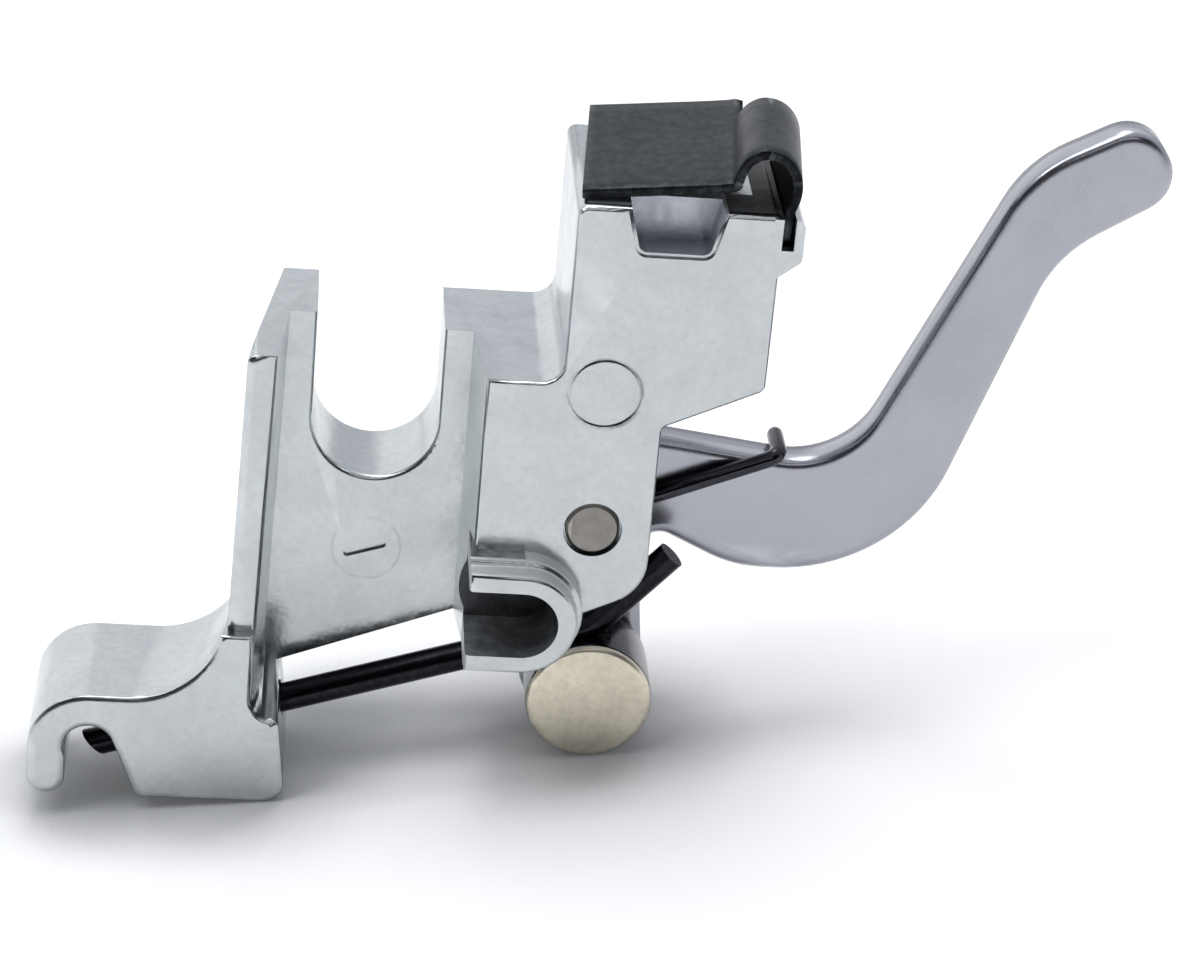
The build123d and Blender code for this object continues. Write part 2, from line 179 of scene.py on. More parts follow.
def buildStainGroup():
    # cloudy stains and fine specks of a plated surface, both from 0 to 1
    tree, entry, leave = newGroup(
        "platingStains",
        [("Cloud Scale", "NodeSocketFloat", 250.0), ("Speck Scale", "NodeSocketFloat", 2500.0)],
        [("Cloud", "NodeSocketFloat"), ("Speck", "NodeSocketFloat")],
    )
    place = addNode(tree, "ShaderNodeTexCoord").outputs["Object"]
    cloud = addNode(tree, "ShaderNodeTexNoise",
                    {"Vector": place, "Scale": entry.outputs["Cloud Scale"], "Detail": 5.0, "Roughness": 0.62,
                     "Distortion": 0.4})
    speck = addNode(tree, "ShaderNodeTexNoise",
                    {"Vector": place, "Scale": entry.outputs["Speck Scale"], "Detail": 3.0, "Roughness": 0.7})
    tree.links.new(ramp(tree, cloud.outputs["Fac"], low=0.35, high=0.68), leave.inputs["Cloud"])
    tree.links.new(ramp(tree, speck.outputs["Fac"], low=0.42, high=0.66), leave.inputs["Speck"])
    return tree


def buildEdgeWearGroup(fade=0.06):
    # 1 on worn outer edges, broken up by a noise
    tree, entry, leave = newGroup(
        "edgeWear",
        [("Sharpness", "NodeSocketFloat", 0.56), ("Break Up Scale", "NodeSocketFloat", 900.0)],
        [("Wear", "NodeSocketFloat")],
    )
    place = addNode(tree, "ShaderNodeTexCoord").outputs["Object"]
    point = addNode(tree, "ShaderNodeNewGeometry").outputs["Pointiness"]
    sharpest = calculate(tree, "ADD", entry.outputs["Sharpness"], fade)
    edge = ramp(tree, point, entry.outputs["Sharpness"], sharpest)
    noise = addNode(tree, "ShaderNodeTexNoise",
                    {"Vector": place, "Scale": entry.outputs["Break Up Scale"], "Detail": 4.0})
    broken = ramp(tree, noise.outputs["Fac"], low=0.3, high=0.6)
    tree.links.new(calculate(tree, "MULTIPLY", edge, broken), leave.inputs["Wear"])
    return tree


def buildRingGroup(wobble=0.06 * mm, fillTo=0.62):
    # 1 along a broken ring seen from the front, as round marks of a casting die leave it
    tree, entry, leave = newGroup(
        "castRing",
        [("Center", "NodeSocketVector", (0, 0, 0)), ("Radius", "NodeSocketFloat", 0.001),
         ("Width", "NodeSocketFloat", 0.0001), ("Fill From", "NodeSocketFloat", 0.4)],
        [("Mark", "NodeSocketFloat")],
    )
    place = addNode(tree, "ShaderNodeTexCoord").outputs["Object"]
    away = addNode(tree, "ShaderNodeVectorMath", {0: place, 1: entry.outputs["Center"]}, operation="SUBTRACT")
    flat = addNode(tree, "ShaderNodeVectorMath", {0: away.outputs[0], 1: (1, 0, 1)}, operation="MULTIPLY")
    far = addNode(tree, "ShaderNodeVectorMath", {0: flat.outputs[0]}, operation="LENGTH")
    waves = addNode(tree, "ShaderNodeTexNoise", {"Vector": place, "Scale": 1800.0, "Detail": 3.0})
    wander = addNode(tree, "ShaderNodeMapRange",
                     {"Value": waves.outputs["Fac"], "To Min": -wobble, "To Max": wobble})
    offRing = calculate(tree, "SUBTRACT", far.outputs["Value"], entry.outputs["Radius"])
    wavy = calculate(tree, "ADD", offRing, wander.outputs["Result"])
    ring = ramp(tree, calculate(tree, "ABSOLUTE", wavy), entry.outputs["Width"], 0.0, "SMOOTHSTEP")
    patches = addNode(tree, "ShaderNodeTexNoise", {"Vector": place, "Scale": 1300.0, "Detail": 2.0})
    broken = ramp(tree, patches.outputs["Fac"], entry.outputs["Fill From"], fillTo)
    tree.links.new(calculate(tree, "MULTIPLY", ring, broken), leave.inputs["Mark"])
    return tree


stainGroup = buildStainGroup()
edgeWearGroup = buildEdgeWearGroup()
ringGroup = buildRingGroup()


def markRings(tree, color, rings):
    # darkens a colour along the rings
    for ring in rings:
        mark = addNode(tree, "ShaderNodeGroup", node_tree=ringGroup)
        for key in ("Center", "Radius", "Width", "Fill From"):
            mark.inputs[key].default_value = ring[key]
        amount = calculate(tree, "MULTIPLY", mark.outputs["Mark"], ring["amount"])
        color = mixColors(tree, amount, color, ring["color"])
    return color


def platedMetal(name, look):
    # plated or polished metal: cloudy tint, specks, a soft orange-peel bump and paler worn edges
    mat = newMaterial(name)
    tree = mat.node_tree
    place = addNode(tree, "ShaderNodeTexCoord").outputs["Object"]
    stains = addNode(tree, "ShaderNodeGroup", node_tree=stainGroup)
    stains.inputs["Cloud Scale"].default_value = look["cloudScale"]
    stains.inputs["Speck Scale"].default_value = look["speckScale"]
    wear = addNode(tree, "ShaderNodeGroup", node_tree=edgeWearGroup)
    cloudy = mixColors(tree, stains.outputs["Cloud"], look["color"], look["cloudColor"])
    speckAmount = calculate(tree, "MULTIPLY", stains.outputs["Speck"], look["speckAmount"])
    specked = mixColors(tree, speckAmount, cloudy, look["speckColor"])
    wearAmount = calculate(tree, "MULTIPLY", wear.outputs["Wear"], look["wearAmount"])
    worn = mixColors(tree, wearAmount, specked, look["wearColor"])
    rough = addNode(tree, "ShaderNodeMapRange",
                    {"Value": stains.outputs["Cloud"], "To Min": look["roughMin"],
                     "To Max": look["roughMax"]})
    peel = addNode(tree, "ShaderNodeTexNoise",
                   {"Vector": place, "Scale": look["peelScale"], "Detail": 3.0, "Roughness": 0.55})
    bump = addNode(tree, "ShaderNodeBump",
                   {"Height": peel.outputs["Fac"], "Strength": look["peelStrength"],
                    "Distance": look["peelDepth"]})
    grain = addNode(tree, "ShaderNodeTexNoise",
                    {"Vector": place, "Scale": look["grainScale"], "Detail": 2.0, "Roughness": 0.6})
    fineBump = addNode(tree, "ShaderNodeBump",
                       {"Height": grain.outputs["Fac"], "Strength": look["grainStrength"],
                        "Distance": look["grainDepth"], "Normal": bump.outputs["Normal"]})
    tint = markRings(tree, worn, look.get("rings", []))
    shader = addNode(tree, "ShaderNodeBsdfPrincipled",
                     {"Base Color": tint, "Metallic": look["metallic"], "Roughness": rough.outputs["Result"],
                      "Normal": fineBump.outputs["Normal"], "Specular IOR Level": look.get("specular", 0.5)})
    leave = addNode(tree, "ShaderNodeOutputMaterial")
    tree.links.new(shader.outputs["BSDF"], leave.inputs["Surface"])
    return mat


# round marks left by the casting die: the disc above the pin and a faint one round the plate's slit
dieRings = [
    {"Center": (0.0, 0.0, 18.10 * mm), "Radius": 1.40 * mm, "Width": 0.13 * mm, "Fill From": 0.38,
     "color": (0.10, 0.105, 0.115), "amount": 0.75},
    {"Center": (-8.45 * mm, 0.0, 8.90 * mm), "Radius": 1.35 * mm, "Width": 0.10 * mm, "Fill From": 0.42,
     "color": (0.30, 0.32, 0.34), "amount": 0.55},
]
castingLook = {
    "color": (0.545, 0.577, 0.580), "cloudColor": (0.505, 0.530, 0.540), "cloudScale": 420.0,
    "speckColor": (0.40, 0.42, 0.46), "speckScale": 3200.0, "speckAmount": 0.30,
    "wearColor": (0.75, 0.77, 0.80), "wearAmount": 0.35,
    "roughMin": 0.17, "roughMax": 0.27, "metallic": 1.0,
    "peelScale": 650.0, "peelStrength": 0.5, "peelDepth": 0.00006,
    "grainScale": 5200.0, "grainStrength": 0.10, "grainDepth": 0.00001,
    "rings": dieRings,
}
leverLook = {
    "color": (0.41, 0.415, 0.455), "cloudColor": (0.375, 0.38, 0.42), "cloudScale": 150.0,
    "speckColor": (0.30, 0.31, 0.36), "speckScale": 3600.0, "speckAmount": 0.14,
    "wearColor": (0.88, 0.89, 0.95), "wearAmount": 0.3,
    "roughMin": 0.20, "roughMax": 0.30, "metallic": 1.0,
    "peelScale": 500.0, "peelStrength": 0.3, "peelDepth": 0.00004,
    "grainScale": 5200.0, "grainStrength": 0.12, "grainDepth": 0.00001,
}
leafLook = {
    "color": (0.015, 0.019, 0.024), "cloudColor": (0.012, 0.015, 0.019), "cloudScale": 220.0,
    "speckColor": (0.09, 0.10, 0.11), "speckScale": 2600.0, "speckAmount": 0.3,
    "wearColor": (0.34, 0.36, 0.39), "wearAmount": 0.5,
    "roughMin": 0.34, "roughMax": 0.46, "metallic": 0.85,
    "peelScale": 700.0, "peelStrength": 0.25, "peelDepth": 0.00003,
    "grainScale": 5200.0, "grainStrength": 0.15, "grainDepth": 0.00001,
}
wireLook = {
    "color": (0.045, 0.046, 0.055), "cloudColor": (0.035, 0.036, 0.042), "cloudScale": 400.0,
    "speckColor": (0.08, 0.08, 0.09), "speckScale": 4200.0, "speckAmount": 0.15,
    "wearColor": (0.12, 0.12, 0.14), "wearAmount": 0.2,
    "roughMin": 0.08, "roughMax": 0.14, "metallic": 1.0,
    "peelScale": 900.0, "peelStrength": 0.2, "peelDepth": 0.00003,
    "grainScale": 6000.0, "grainStrength": 0.1, "grainDepth": 0.00001,
}
studLook = {
    "color": (0.76, 0.70, 0.57), "cloudColor": (0.70, 0.64, 0.52), "cloudScale": 260.0,
    "speckColor": (0.34, 0.32, 0.28), "speckScale": 3000.0, "speckAmount": 0.25,
    "wearColor": (0.92, 0.90, 0.86), "wearAmount": 0.4,
    "roughMin": 0.27, "roughMax": 0.38, "metallic": 1.0,
    "peelScale": 900.0, "peelStrength": 0.25, "peelDepth": 0.00003,
    "grainScale": 4200.0, "grainStrength": 0.2, "grainDepth": 0.00001,
}
pinLook = {
    "color": (0.27, 0.25, 0.235), "cloudColor": (0.21, 0.20, 0.185), "cloudScale": 700.0,
    "speckColor": (0.30, 0.29, 0.27), "speckScale": 3600.0, "speckAmount": 0.4,
    "wearColor": (0.7, 0.68, 0.65), "wearAmount": 0.4,
    "roughMin": 0.30, "roughMax": 0.44, "metallic": 1.0,
    "peelScale": 1500.0, "peelStrength": 0.4, "peelDepth": 0.00003,
    "grainScale": 5000.0, "grainStrength": 0.3, "grainDepth": 0.00001,
}
# finishes, and painted shade, that differ from a main one in a few values
# painted shade: the ridge's pocket gets near black walls and a lighter grey floor, for the shade in the
# hollow
pocketWallShadeLook = dict(castingLook, color=(0.115, 0.12, 0.13), cloudColor=(0.045, 0.047, 0.052),
                  speckColor=(0.02, 0.02, 0.02), cloudScale=900.0, roughMin=0.34, roughMax=0.5, metallic=0.35,
                  wearAmount=0.0)
pocketFloorShadeLook = dict(pocketWallShadeLook, color=(0.22, 0.235, 0.25), cloudColor=(0.08, 0.085, 0.09))
towerPocketLook = dict(castingLook, color=(0.54, 0.56, 0.61), cloudColor=(0.40, 0.42, 0.46),
                       cloudScale=1100.0, speckScale=2600.0, speckAmount=0.5, roughMin=0.36, roughMax=0.46,
                       metallic=0.9, rings=[])
satinLook = dict(castingLook, roughMin=0.42, roughMax=0.52, metallic=0.35, rings=[])
# painted shade: a near black, dull copy of the leaf's steel for its underside and the inside of its curl
shadedLeafUndersideLook = dict(leafLook, color=(0.004, 0.004, 0.005), cloudColor=(0.003, 0.003, 0.004), roughMin=0.7,
                     roughMax=0.8, metallic=0.0, specular=0.08, wearAmount=0.0, speckAmount=0.05)
leafRimLook = dict(leafLook, color=(0.007, 0.008, 0.010), cloudColor=(0.005, 0.006, 0.008), wearAmount=0.25)
# painted shade: near black on the tower's flat top under the leaf's curl
curlShadeLook = dict(shadedLeafUndersideLook, color=(0.012, 0.013, 0.015), speckAmount=0.4, specular=0.5, roughMin=0.3,
               roughMax=0.5)
drumLook = dict(studLook, color=(0.050, 0.052, 0.062), cloudColor=(0.036, 0.037, 0.045), wearAmount=0.1,
                speckAmount=0.05, roughMin=0.12, roughMax=0.2)
rodLook = dict(wireLook, color=(0.018, 0.018, 0.022), cloudColor=(0.012, 0.012, 0.015), roughMin=0.20,
               roughMax=0.28)

castingChrome = platedMetal("castingChrome", castingLook)
castingSatin = platedMetal("castingSatin", satinLook)
towerPocketGrey = platedMetal("towerPocketGrey", towerPocketLook)
shadedPocketFloor = platedMetal("shadedPocketFloor", pocketFloorShadeLook)
shadedPocketWalls = platedMetal("shadedPocketWalls", pocketWallShadeLook)
curlShadeBlack = platedMetal("curlShadeBlack", curlShadeLook)
leverChrome = platedMetal("leverChrome", leverLook)
leafSteel = platedMetal("leafSteel", leafLook)
shadedLeafUnderside = platedMetal("shadedLeafUnderside", shadedLeafUndersideLook)
leafRim = platedMetal("leafRim", leafRimLook)
pinSteel = platedMetal("pinSteel", pinLook)
studNickel = platedMetal("studNickel", studLook)
drumSteel = platedMetal("drumSteel", drumLook)
rodBlack = platedMetal("rodBlack", rodLook)
blackWire = platedMetal("blackWire", wireLook)
say("materials made")


# casting: the rounding of its edges, and the places in mm where it gets another finish or painted shade

castingSizes = {
    "crease": 62, "flatArea": 0.6 * mm * mm, "flatWithin": 0.9998, "ridgeX": -2.5, "ridgeZ": 9.0,
    "rim": {"width": 0.17 * mm, "segments": 2, "crease": 30, "front": -3.5, "within": 0.03, "left": 0.2,
            "right": 4.0, "bottom": 23.7, "top": 25.5},
    "ridgePocket": {"radius": 1.5, "left": -4.7, "front": -5.1, "back": -1.8, "floorFacing": 0.3},
    "ridgeSide": {"radius": 4.0, "left": -5.0, "front": -5.25, "back": -3.55, "facing": 0.6},
    "towerPocket": {"left": 0.25, "right": 3.95, "bottom": 23.75, "front": -3.31, "back": -1.7},
    "curlShade": {"left": 5.0, "right": 6.05, "top": 25.6, "within": 0.2, "front": -3.0, "frontLeft": 3.95,
            "frontBack": -1.3, "facing": 0.3},
}


def fromRidgeMiddle(center):
    return math.hypot(center.x - castingSizes["ridgeX"], center.z - castingSizes["ridgeZ"])


def inRidgePocket(polygon):
    # the walls and the bottom of the pocket that the ridge surrounds, which get painted shade
    p = castingSizes["ridgePocket"]
    center = polygon.center / mm
    inDepth = p["front"] < center.y < p["back"]
    if center.x > castingSizes["ridgeX"]:
        return inDepth and fromRidgeMiddle(center) < p["radius"]
    return inDepth and center.x > p["left"] and abs(center.z - castingSizes["ridgeZ"]) < p["radius"]


def onRidgeSide(polygon):
    # the outer sides of the ridge and of its step
    p = castingSizes["ridgeSide"]
    center = polygon.center / mm
    if not p["front"] < center.y < p["back"] or polygon.normal.y < -p["facing"] or center.x < p["left"]:
        return False
    return fromRidgeMiddle(center) < p["radius"]


def inTowerPocket(polygon):
    # the walls of the pocket in the tower's front, without its rim
    p = castingSizes["towerPocket"]
    center = polygon.center / mm
    return p["left"] < center.x < p["right"] and center.z > p["bottom"] and p["front"] < center.y < p["back"]


def inCurlShade(polygon):
    # the part of the tower's flat top behind its front edge and under the curl, which gets painted shade
    p = castingSizes["curlShade"]
    center = polygon.center / mm
    if polygon.normal.z < p["facing"] or abs(center.z - p["top"]) > p["within"] or center.y < p["front"]:
        return False
    inFront = p["frontLeft"] < center.x < p["right"] and center.y < p["frontBack"]
    return inFront or p["left"] < center.x < p["right"]


def castingShadeOrFinish(polygon):
    # painted shade in the ridge's pocket, lighter on its floor than on its walls
    if inRidgePocket(polygon):
        onFloor = polygon.normal.z > castingSizes["ridgePocket"]["floorFacing"]
        return shadedPocketFloor if onFloor else shadedPocketWalls
    if inTowerPocket(polygon):
        return towerPocketGrey
    # painted shade on the tower's top under the leaf's curl
    if inCurlShade(polygon):
        return curlShadeBlack
    return castingSatin if onRidgeSide(polygon) else castingChrome


def roundPocketRim(obj):
    # rounds the rim of the pocket in the tower's front
    p = castingSizes["rim"]
    bm = bmesh.new()
    bm.from_mesh(obj.data)

    def onRim(edge):
        if len(edge.link_faces) != 2 or edge.calc_face_angle(0) < math.radians(p["crease"]):
            return False
        return all(abs(vert.co.y / mm - p["front"]) < p["within"] and p["left"] < vert.co.x / mm < p["right"]
                   and p["bottom"] < vert.co.z / mm < p["top"] for vert in edge.verts)

    rim = [edge for edge in bm.edges if onRim(edge)]
    say("%d edges round the tower's pocket" % len(rim))
    bmesh.ops.bevel(bm, geom=rim, offset=p["width"], segments=p["segments"], affect="EDGES",
                    clamp_overlap=True)
    bm.to_mesh(obj.data)
    bm.free()


def cutCurlShade(obj):
    # cuts the tower's flat top where the painted shade under the leaf's curl begins
    p = castingSizes["curlShade"]
    bm = bmesh.new()
    bm.from_mesh(obj.data)
    cuts = [((p["left"], 0, 0), (1, 0, 0)), ((p["frontLeft"], 0, 0), (1, 0, 0)),
            ((0, p["front"], 0), (0, 1, 0)), ((0, p["frontBack"], 0), (0, 1, 0))]
    for place, way in cuts:
        top = [face for face in bm.faces if abs(face.calc_center_median().z / mm - p["top"]) < p["within"]
               and face.normal.z > p["facing"]]
        edges = list({edge for face in top for edge in face.edges})
        corners = list({vert for face in top for vert in face.verts})
        bmesh.ops.bisect_plane(bm, geom=top + edges + corners, plane_co=Vector(place) * mm, plane_no=way)
    bm.to_mesh(obj.data)
    bm.free()


casting = cleanCopy("holder_body", "castingShell")
roundPocketRim(casting)
cutCurlShade(casting)
casting = roundShading(casting, castingSizes["crease"])
flattenFaces(casting, castingSizes["flatArea"], castingSizes["flatWithin"])
castingShadesAndFinishes = (castingChrome, shadedPocketWalls, towerPocketGrey, castingSatin, shadedPocketFloor, curlShadeBlack)
paintFaces(casting, castingShadesAndFinishes, castingShadeOrFinish)
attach(casting, "holder")
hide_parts("holder_body")
say("casting made, %d faces" % len(casting.data.polygons))


# lever

leverSizes = {"band": 0.28 * mm, "facing": 0.9, "crease": 62}


def insetFaces(obj, band, facing):
    # sets the broad flat faces in, so that smooth shading turns a band along their edges over
    bm = bmesh.new()
    bm.from_mesh(obj.data)
    broad = [face for face in bm.faces if face.normal.y < -facing]
    bmesh.ops.inset_region(bm, faces=broad, thickness=band, depth=0, use_even_offset=True, use_boundary=True)
    bm.to_mesh(obj.data)
    bm.free()


lever = cleanCopy("release_lever", "leverPlate")
insetFaces(lever, leverSizes["band"], leverSizes["facing"])
smoothShade(lever, leverSizes["crease"])
paintFaces(lever, (leverChrome,))
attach(lever, "lever")
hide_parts("release_lever")
say("lever made")


# leaf spring

# The path gives x and z in mm of the strip's middle, from its left end over the curl to its tail. Depths are
# in mm too. Skew and rise are for each mm of depth. The rise fades out above riseTo and right of curlLeft.
leafSizes = {
    "path": [
        (-1.47, 25.84), (1.40, 26.12), (3.95, 26.40), (4.22, 26.62), (4.34, 27.00), (4.52, 27.38),
        (4.82, 27.64), (5.16, 27.76), (5.56, 27.72), (5.94, 27.53), (6.24, 27.20), (6.42, 26.80),
        (6.46, 26.38), (6.40, 25.96), (6.27, 25.55), (6.23, 25.10), (6.23, 24.45),
    ],
    "flatPoints": 4, "pathSteps": 6, "tongueCells": 8, "flatCells": 3,
    "thickness": 0.36 * mm, "edge": 0.03 * mm, "edgeSegments": 1, "crease": 50,
    "near": -2.8, "tongueBack": 2.9, "flatBack": 5.1,
    "skew": 0.085, "skewFrom": 25.6, "skewTo": 26.4,
    "rise": 0.05, "riseTo": 26.5, "riseEnd": 27.3, "curlLeft": 4.5, "curlRight": 5.5,
    "curlX": 5.3, "curlZ": 26.6, "insideFrom": 4.1, "rimFacing": 0.7, "underFacing": 0.5,
}


def smoothPath(points, steps):
    # a Catmull-Rom curve through the points
    ends = [points[0]] + list(points) + [points[-1]]
    path = []
    for before, a, b, after in zip(ends, ends[1:], ends[2:], ends[3:]):
        for i in range(steps):
            t = i / steps
            path.append(tuple(0.5 * (2 * q + (r - p) * t + (2 * p - 5 * q + 4 * r - s) * t * t
                                     + (3 * q - p - 3 * r + s) * t ** 3)
                              for p, q, r, s in zip(before, a, b, after)))
    return path + [tuple(points[-1])]


def divide(low, high, cells):
    return [low + (high - low) * i / cells for i in range(cells + 1)]


def share(value, low, high):
    # how far value has come from low to high, from 0 to 1
    return min(max((value - low) / (high - low), 0.0), 1.0)


def placeOnLeaf(x, y, z):
    # moves a point of the straight strip to where the askew, lifted one has it
    s = leafSizes
    deep = y - s["near"]
    skew = s["skew"] * deep
    if x >= s["curlLeft"]:
        skew *= share(z, s["skewFrom"], s["skewTo"])
    rise = s["rise"] * deep * (1 - share(z, s["riseTo"], s["riseEnd"]))
    rise *= 1 - share(x, s["curlLeft"], s["curlRight"])
    return (x + skew) * mm, y * mm, (z + rise) * mm


def buildLeaf():
    # a strip that lies askew on the tower, curls over and ends in the lug's slot
    s = leafSizes
    path = smoothPath(s["path"], s["pathSteps"])
    flatCount = (s["flatPoints"] - 1) * s["pathSteps"] + 1
    narrow = divide(s["near"], s["tongueBack"], s["tongueCells"])
    wide = narrow + divide(s["tongueBack"], s["flatBack"], s["flatCells"])[1:]
    bm = bmesh.new()
    rows = [[bm.verts.new(placeOnLeaf(x, y, z)) for y in (wide if count < flatCount else narrow)]
            for count, (x, z) in enumerate(path)]
    for row, after in zip(rows, rows[1:]):
        for a, b, c, d in zip(row, row[1:], after[1:], after):
            bm.faces.new((a, b, c, d))
    bmesh.ops.recalc_face_normals(bm, faces=bm.faces)
    mesh = bpy.data.meshes.new("leafStrip")
    bm.to_mesh(mesh)
    bm.free()
    obj = linkMesh("leafStrip", mesh)
    thick = obj.modifiers.new("thickness", "SOLIDIFY")
    thick.thickness = s["thickness"]
    thick.offset = 0
    bevel = obj.modifiers.new("roundedEdges", "BEVEL")
    bevel.limit_method = "ANGLE"
    bevel.angle_limit = math.radians(s["crease"])
    bevel.width = s["edge"]
    bevel.segments = s["edgeSegments"]
    return makeMesh(obj)


def leafShadeOrFinish(polygon):
    # darker on the strip's cut edges, with painted shade on its underside and on the inside of the curl
    s = leafSizes
    center = polygon.center / mm
    if abs(polygon.normal.y) > s["rimFacing"]:
        return leafRim
    inward = (center.x - s["curlX"]) * polygon.normal.x + (center.z - s["curlZ"]) * polygon.normal.z < 0
    # painted shade on faces that look down or into the curl
    if polygon.normal.z < -s["underFacing"] or (center.x > s["insideFrom"] and inward):
        return shadedLeafUnderside
    return leafSteel


leaf = smoothShade(buildLeaf(), leafSizes["crease"])
paintFaces(leaf, (leafSteel, shadedLeafUnderside, leafRim), leafShadeOrFinish)
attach(leaf, "holder")
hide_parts("leaf_spring")
say("leaf spring made")


# pin

pinSizes = {"crease": 30}
pin = cleanCopy("pivot_pin", "pinShaft")
smoothShade(pin, pinSizes["crease"])
paintFaces(pin, (pinSteel,))
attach(pin, "holder")
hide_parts("pivot_pin")
say("pin made")


# stud

studSizes = {"crease": 30, "endFacing": 0.35}


def studFinish(polygon):
    # nickel on the turned end, dark on the drum's side
    return studNickel if abs(polygon.normal.y) > studSizes["endFacing"] else drumSteel


stud = cleanCopy("stud", "studDrum")
smoothShade(stud, studSizes["crease"])
paintFaces(stud, (studNickel, drumSteel), studFinish)
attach(stud, "latch")
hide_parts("stud")
say("stud made")


# latch rod

rodSizes = {"crease": 30}
rod = cleanCopy("latch_rod", "latchRod")
smoothShade(rod, rodSizes["crease"])
paintFaces(rod, (rodBlack,))
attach(rod, "latch")
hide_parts("latch_rod")
say("latch rod made")


# torsion spring

springSizes = {"flatAngle": 0.05, "crease": 50}
springWire = cleanCopy("torsion_spring", "springWire", springSizes["flatAngle"])
smoothShade(springWire, springSizes["crease"])
paintFaces(springWire, (blackWire,))
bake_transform(springWire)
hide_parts("torsion_spring")
say("torsion spring made")


# floor: white paper, tilted as the holder leans, with painted shadow where the object touches it and round it

floorSizes = {
    "tilt": math.radians(6.98), "touchX": -11.85 * mm, "reach": 1.2, "color": (0.96, 0.96, 0.96),
    "contactShadowReach": 5.0 * mm, "contactShadowColor": (0.03, 0.033, 0.036), "contactShadowFrom": 0.45, "contactShadowTo": 0.97,
    "shadeReach": 9 * mm, "shadeColor": (0.56, 0.57, 0.58), "shadeFrom": 0.20, "shadeTo": 0.95,
    "shadeSamples": 4, "roughness": 0.9, "lift": 0.10,
}


def openness(tree, reach, low, high):
    # 0 close to another surface, 1 in the open
    samples = floorSizes["shadeSamples"]
    node = addNode(tree, "ShaderNodeAmbientOcclusion", {"Distance": reach}, samples=samples)
    return ramp(tree, node.outputs["AO"], low, high)


def whitePaper():
    s = floorSizes
    mat = newMaterial("whitePaper")
    tree = mat.node_tree
    # painted shadow: ambient occlusion darkens the paper's colour, to near black close to the object and to
    # grey farther round it
    near = openness(tree, s["contactShadowReach"], s["contactShadowFrom"], s["contactShadowTo"])
    far = openness(tree, s["shadeReach"], s["shadeFrom"], s["shadeTo"])
    shade = mixColors(tree, far, s["shadeColor"], mixColors(tree, near, s["contactShadowColor"], s["color"]))
    light = addNode(tree, "ShaderNodeLightPath").outputs
    seen = calculate(tree, "MAXIMUM", light["Is Camera Ray"], light["Is Glossy Ray"])
    glow = calculate(tree, "MAXIMUM", seen, light["Is Transmission Ray"])
    paper = addNode(tree, "ShaderNodeBsdfPrincipled",
                    {"Base Color": shade, "Roughness": s["roughness"], "Emission Color": shade,
                     "Emission Strength": calculate(tree, "MULTIPLY", glow, s["lift"])})
    leave = addNode(tree, "ShaderNodeOutputMaterial")
    tree.links.new(paper.outputs["BSDF"], leave.inputs["Surface"])
    return mat


def buildFloor():
    reach = floorSizes["reach"]
    slope = math.tan(floorSizes["tilt"])
    corners = [(x, y, (x - floorSizes["touchX"]) * slope) for x, y in
               ((-reach, -reach), (reach, -reach), (reach, reach), (-reach, reach))]
    mesh = bpy.data.meshes.new("paperFloor")
    mesh.from_pydata(corners, [], [(0, 1, 2, 3)])
    floor = linkMesh("paperFloor", mesh)
    mesh.materials.append(whitePaper())


buildFloor()


# world: each range runs from where a part of the studio begins to where it is full, along one direction

worldLook = {
    "side": (0.62, 0.64, 0.68), "backLow": (0.67, 0.69, 0.73), "backHigh": (1.12, 1.13, 1.16),
    "darkRoom": (0.03, 0.03, 0.034), "paper": (1, 1, 1),
    "backRange": (0.10, 0.60), "highRange": (0.42, 0.66), "leftRange": (0.06, -0.12),
    "roomRange": (-0.20, -0.50), "lowRange": (0.88, 0.66),
}


def buildWorld():
    # a white studio with a darker room behind the camera, which draws the dark lines on rounded front edges
    look = worldLook
    world = bpy.data.worlds.new("studio")
    bpy.context.scene.world = world
    world.use_nodes = True
    tree = world.node_tree
    tree.nodes.clear()
    way = addNode(tree, "ShaderNodeTexCoord").outputs["Generated"]
    x, y, z = addNode(tree, "ShaderNodeSeparateXYZ", {"Vector": way}).outputs
    bright = calculate(tree, "MAXIMUM", ramp(tree, z, *look["highRange"]), ramp(tree, x, *look["leftRange"]))
    back = mixColors(tree, bright, look["backLow"], look["backHigh"])
    room = mixColors(tree, ramp(tree, y, *look["backRange"], "SMOOTHSTEP"), look["side"], back)
    dark = calculate(tree, "MULTIPLY", ramp(tree, y, *look["roomRange"], "SMOOTHSTEP"),
                     ramp(tree, z, *look["lowRange"], "SMOOTHSTEP"))
    dimmed = mixColors(tree, dark, room, look["darkRoom"])
    studio = addNode(tree, "ShaderNodeBackground", {"Color": dimmed, "Strength": 1.0})
    white = addNode(tree, "ShaderNodeBackground", {"Color": (*look["paper"], 1), "Strength": 1.0})
    seen = addNode(tree, "ShaderNodeLightPath").outputs["Is Camera Ray"]
    both = addNode(tree, "ShaderNodeMixShader", {0: seen, 1: studio.outputs[0], 2: white.outputs[0]})
    leave = addNode(tree, "ShaderNodeOutputWorld")
    tree.links.new(both.outputs[0], leave.inputs["Surface"])


buildWorld()


# lamps

lampTarget = (0, 0, 0.01)
lampSizes = {
    "topSoftbox": {"place": (-0.05, 0.03, 0.29), "size": (0.26, 0.09), "power": 0.36},
    "keySoftbox": {"place": (-0.19, -0.06, 0.24), "size": (0.08, 0.08), "power": 0.11},
    "frontSoftbox": {"place": (0.02, -0.22, 0.17), "size": (0.16, 0.05), "power": 0.032},
}


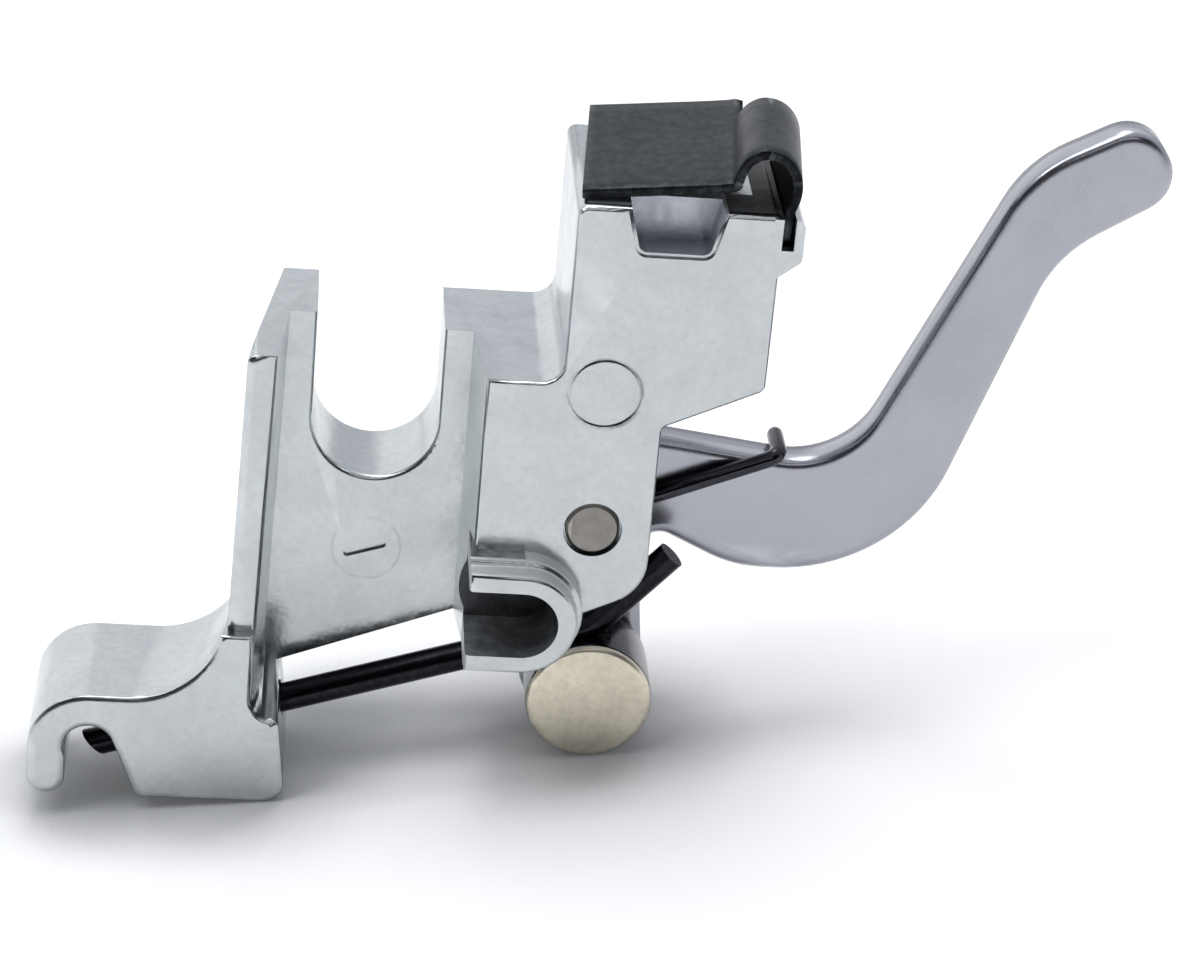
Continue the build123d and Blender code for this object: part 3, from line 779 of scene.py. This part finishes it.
def addLamp(name, place, size, power):
    lamp = bpy.data.lights.new(name, "AREA")
    lamp.shape = "RECTANGLE"
    lamp.size, lamp.size_y = size
    lamp.energy = power
    obj = bpy.data.objects.new(name, lamp)
    bpy.context.scene.collection.objects.link(obj)
    aim = (Vector(lampTarget) - Vector(place)).to_track_quat("-Z", "Y")
    obj.matrix_world = Matrix.Translation(place) @ aim.to_matrix().to_4x4()


for lampName, sizes in lampSizes.items():
    addLamp(lampName, **sizes)


# camera

cameraSetup = {
    "rise": 26.0, "yaw": 5.6, "roll": 5.4, "focal": 3700.0, "pixelsPerMm": 25.5, "sensorWidth": 36.0,
    "seenPoint": (-11.9, -4.1, 0.0), "seenPixel": (265.0, 803.0), "frameWidth": 1200.0, "frameHeight": 960.0,
    "clipStart": 0.005, "clipEnd": 10.0,
}


def buildCamera():
    # stands where the photograph was taken from: seenPoint falls on seenPixel at pixelsPerMm
    s = cameraSetup
    rise, yaw, roll = (math.radians(s[key]) for key in ("rise", "yaw", "roll"))
    ahead = Vector((math.sin(yaw) * math.cos(rise), math.cos(yaw) * math.cos(rise), -math.sin(rise)))
    side = Vector((math.cos(yaw), -math.sin(yaw), 0))
    up = side.cross(ahead)
    side, up = math.cos(roll) * side + math.sin(roll) * up, -math.sin(roll) * side + math.cos(roll) * up
    px, py = s["seenPixel"]
    across = (px - s["frameWidth"] / 2) / s["focal"]
    down = (py - s["frameHeight"] / 2) / s["focal"]
    ray = ahead + side * across - up * down
    place = (Vector(s["seenPoint"]) - ray * (s["focal"] / s["pixelsPerMm"])) * mm
    camera = bpy.data.cameras.new("photoCamera")
    camera.sensor_fit = "HORIZONTAL"
    camera.sensor_width = s["sensorWidth"]
    camera.lens = s["sensorWidth"] * s["focal"] / s["frameWidth"]
    camera.clip_start = s["clipStart"]
    camera.clip_end = s["clipEnd"]
    obj = bpy.data.objects.new("photoCamera", camera)
    bpy.context.scene.collection.objects.link(obj)
    turn = Matrix((side, up, -ahead)).transposed().to_4x4()
    obj.matrix_world = Matrix.Translation(place) @ turn
    bpy.context.scene.camera = obj


buildCamera()
bpy.context.scene.view_settings.view_transform = "Standard"
say("stage, lights and camera made")

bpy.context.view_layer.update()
say("finished")
